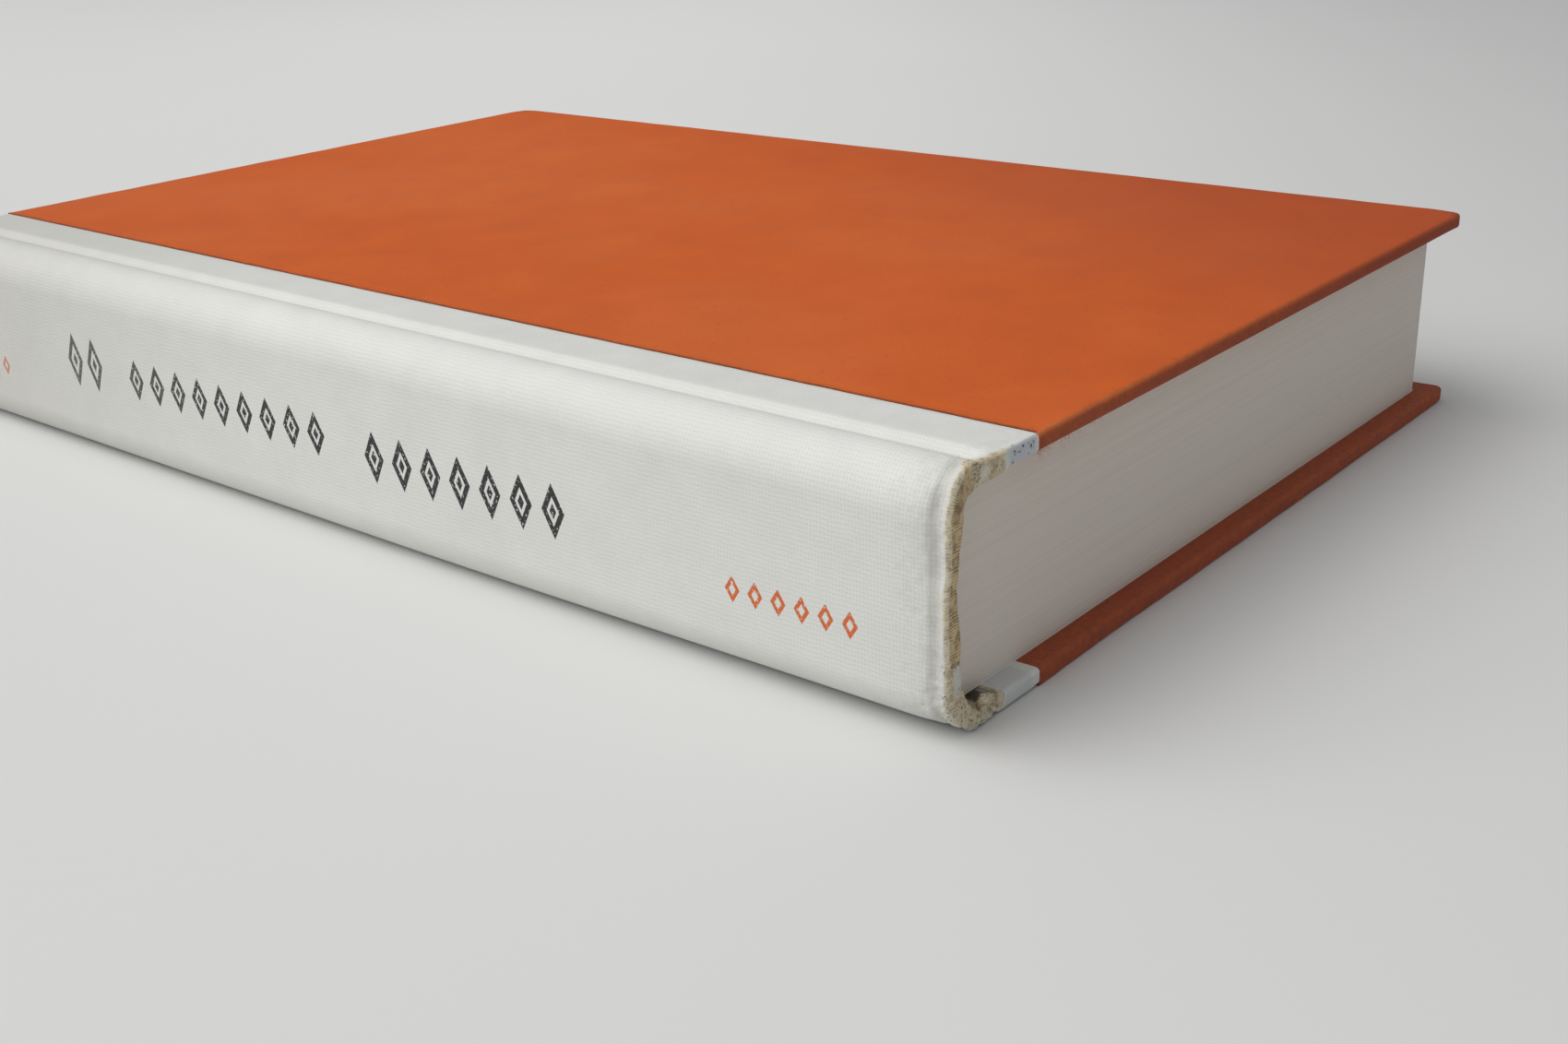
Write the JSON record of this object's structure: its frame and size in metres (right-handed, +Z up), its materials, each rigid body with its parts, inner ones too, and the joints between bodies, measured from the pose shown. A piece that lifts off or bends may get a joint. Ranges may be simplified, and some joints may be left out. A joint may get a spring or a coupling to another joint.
{
  "type": "hardback book",
  "caption": "Closed hardback book with a cloth spine, orange paper sides and two covers that open on their joints.",
  "frame": {"origin": "middle of the closed book's footprint, on the surface it lies on", "axes": "+X from the spine to the fore edge, +Y from the tail to the head, +Z up through the front cover"},
  "size_m": [0.1448, 0.216, 0.0318],
  "materials": {
    "leaves": "uncoated book paper, cut edges",
    "endpaper": "uncoated stiff paper",
    "gauze": "open starched gauze",
    "lining_paper": "brown lining paper",
    "card": "grey card",
    "board": "grey binder's board",
    "book_cloth": "white filled book cloth, fine weave, worn at the caps",
    "siding_paper": "orange mottled cover paper"
  },
  "bodies": {
    "book_block": {"text_block": "leaves", "front_flyleaf": "endpaper", "back_flyleaf": "endpaper", "spine_mull": "gauze", "spine_lining": "lining_paper", "spine_inlay": "card", "spine_cloth": "book_cloth"},
    "front_cover": {"front_board": "board", "front_cloth": "book_cloth", "front_paper": "siding_paper", "front_pastedown": "endpaper", "front_mull_flange": "gauze"},
    "back_cover": {"back_board": "board", "back_cloth": "book_cloth", "back_paper": "siding_paper", "back_pastedown": "endpaper", "back_mull_flange": "gauze"}
  },
  "joints": [
    {"name": "front_cover_hinge", "type": "hinge", "parent": "book_block", "child": "front_cover", "pos_m": [-0.06625, 0, 0.031], "axis": [0, -1, 0], "range_deg": [0, 178]},
    {"name": "back_cover_hinge", "type": "hinge", "parent": "book_block", "child": "back_cover", "pos_m": [-0.06625, 0, 0.0003], "axis": [0, 1, 0], "range_deg": [0, 178]}
  ]
}
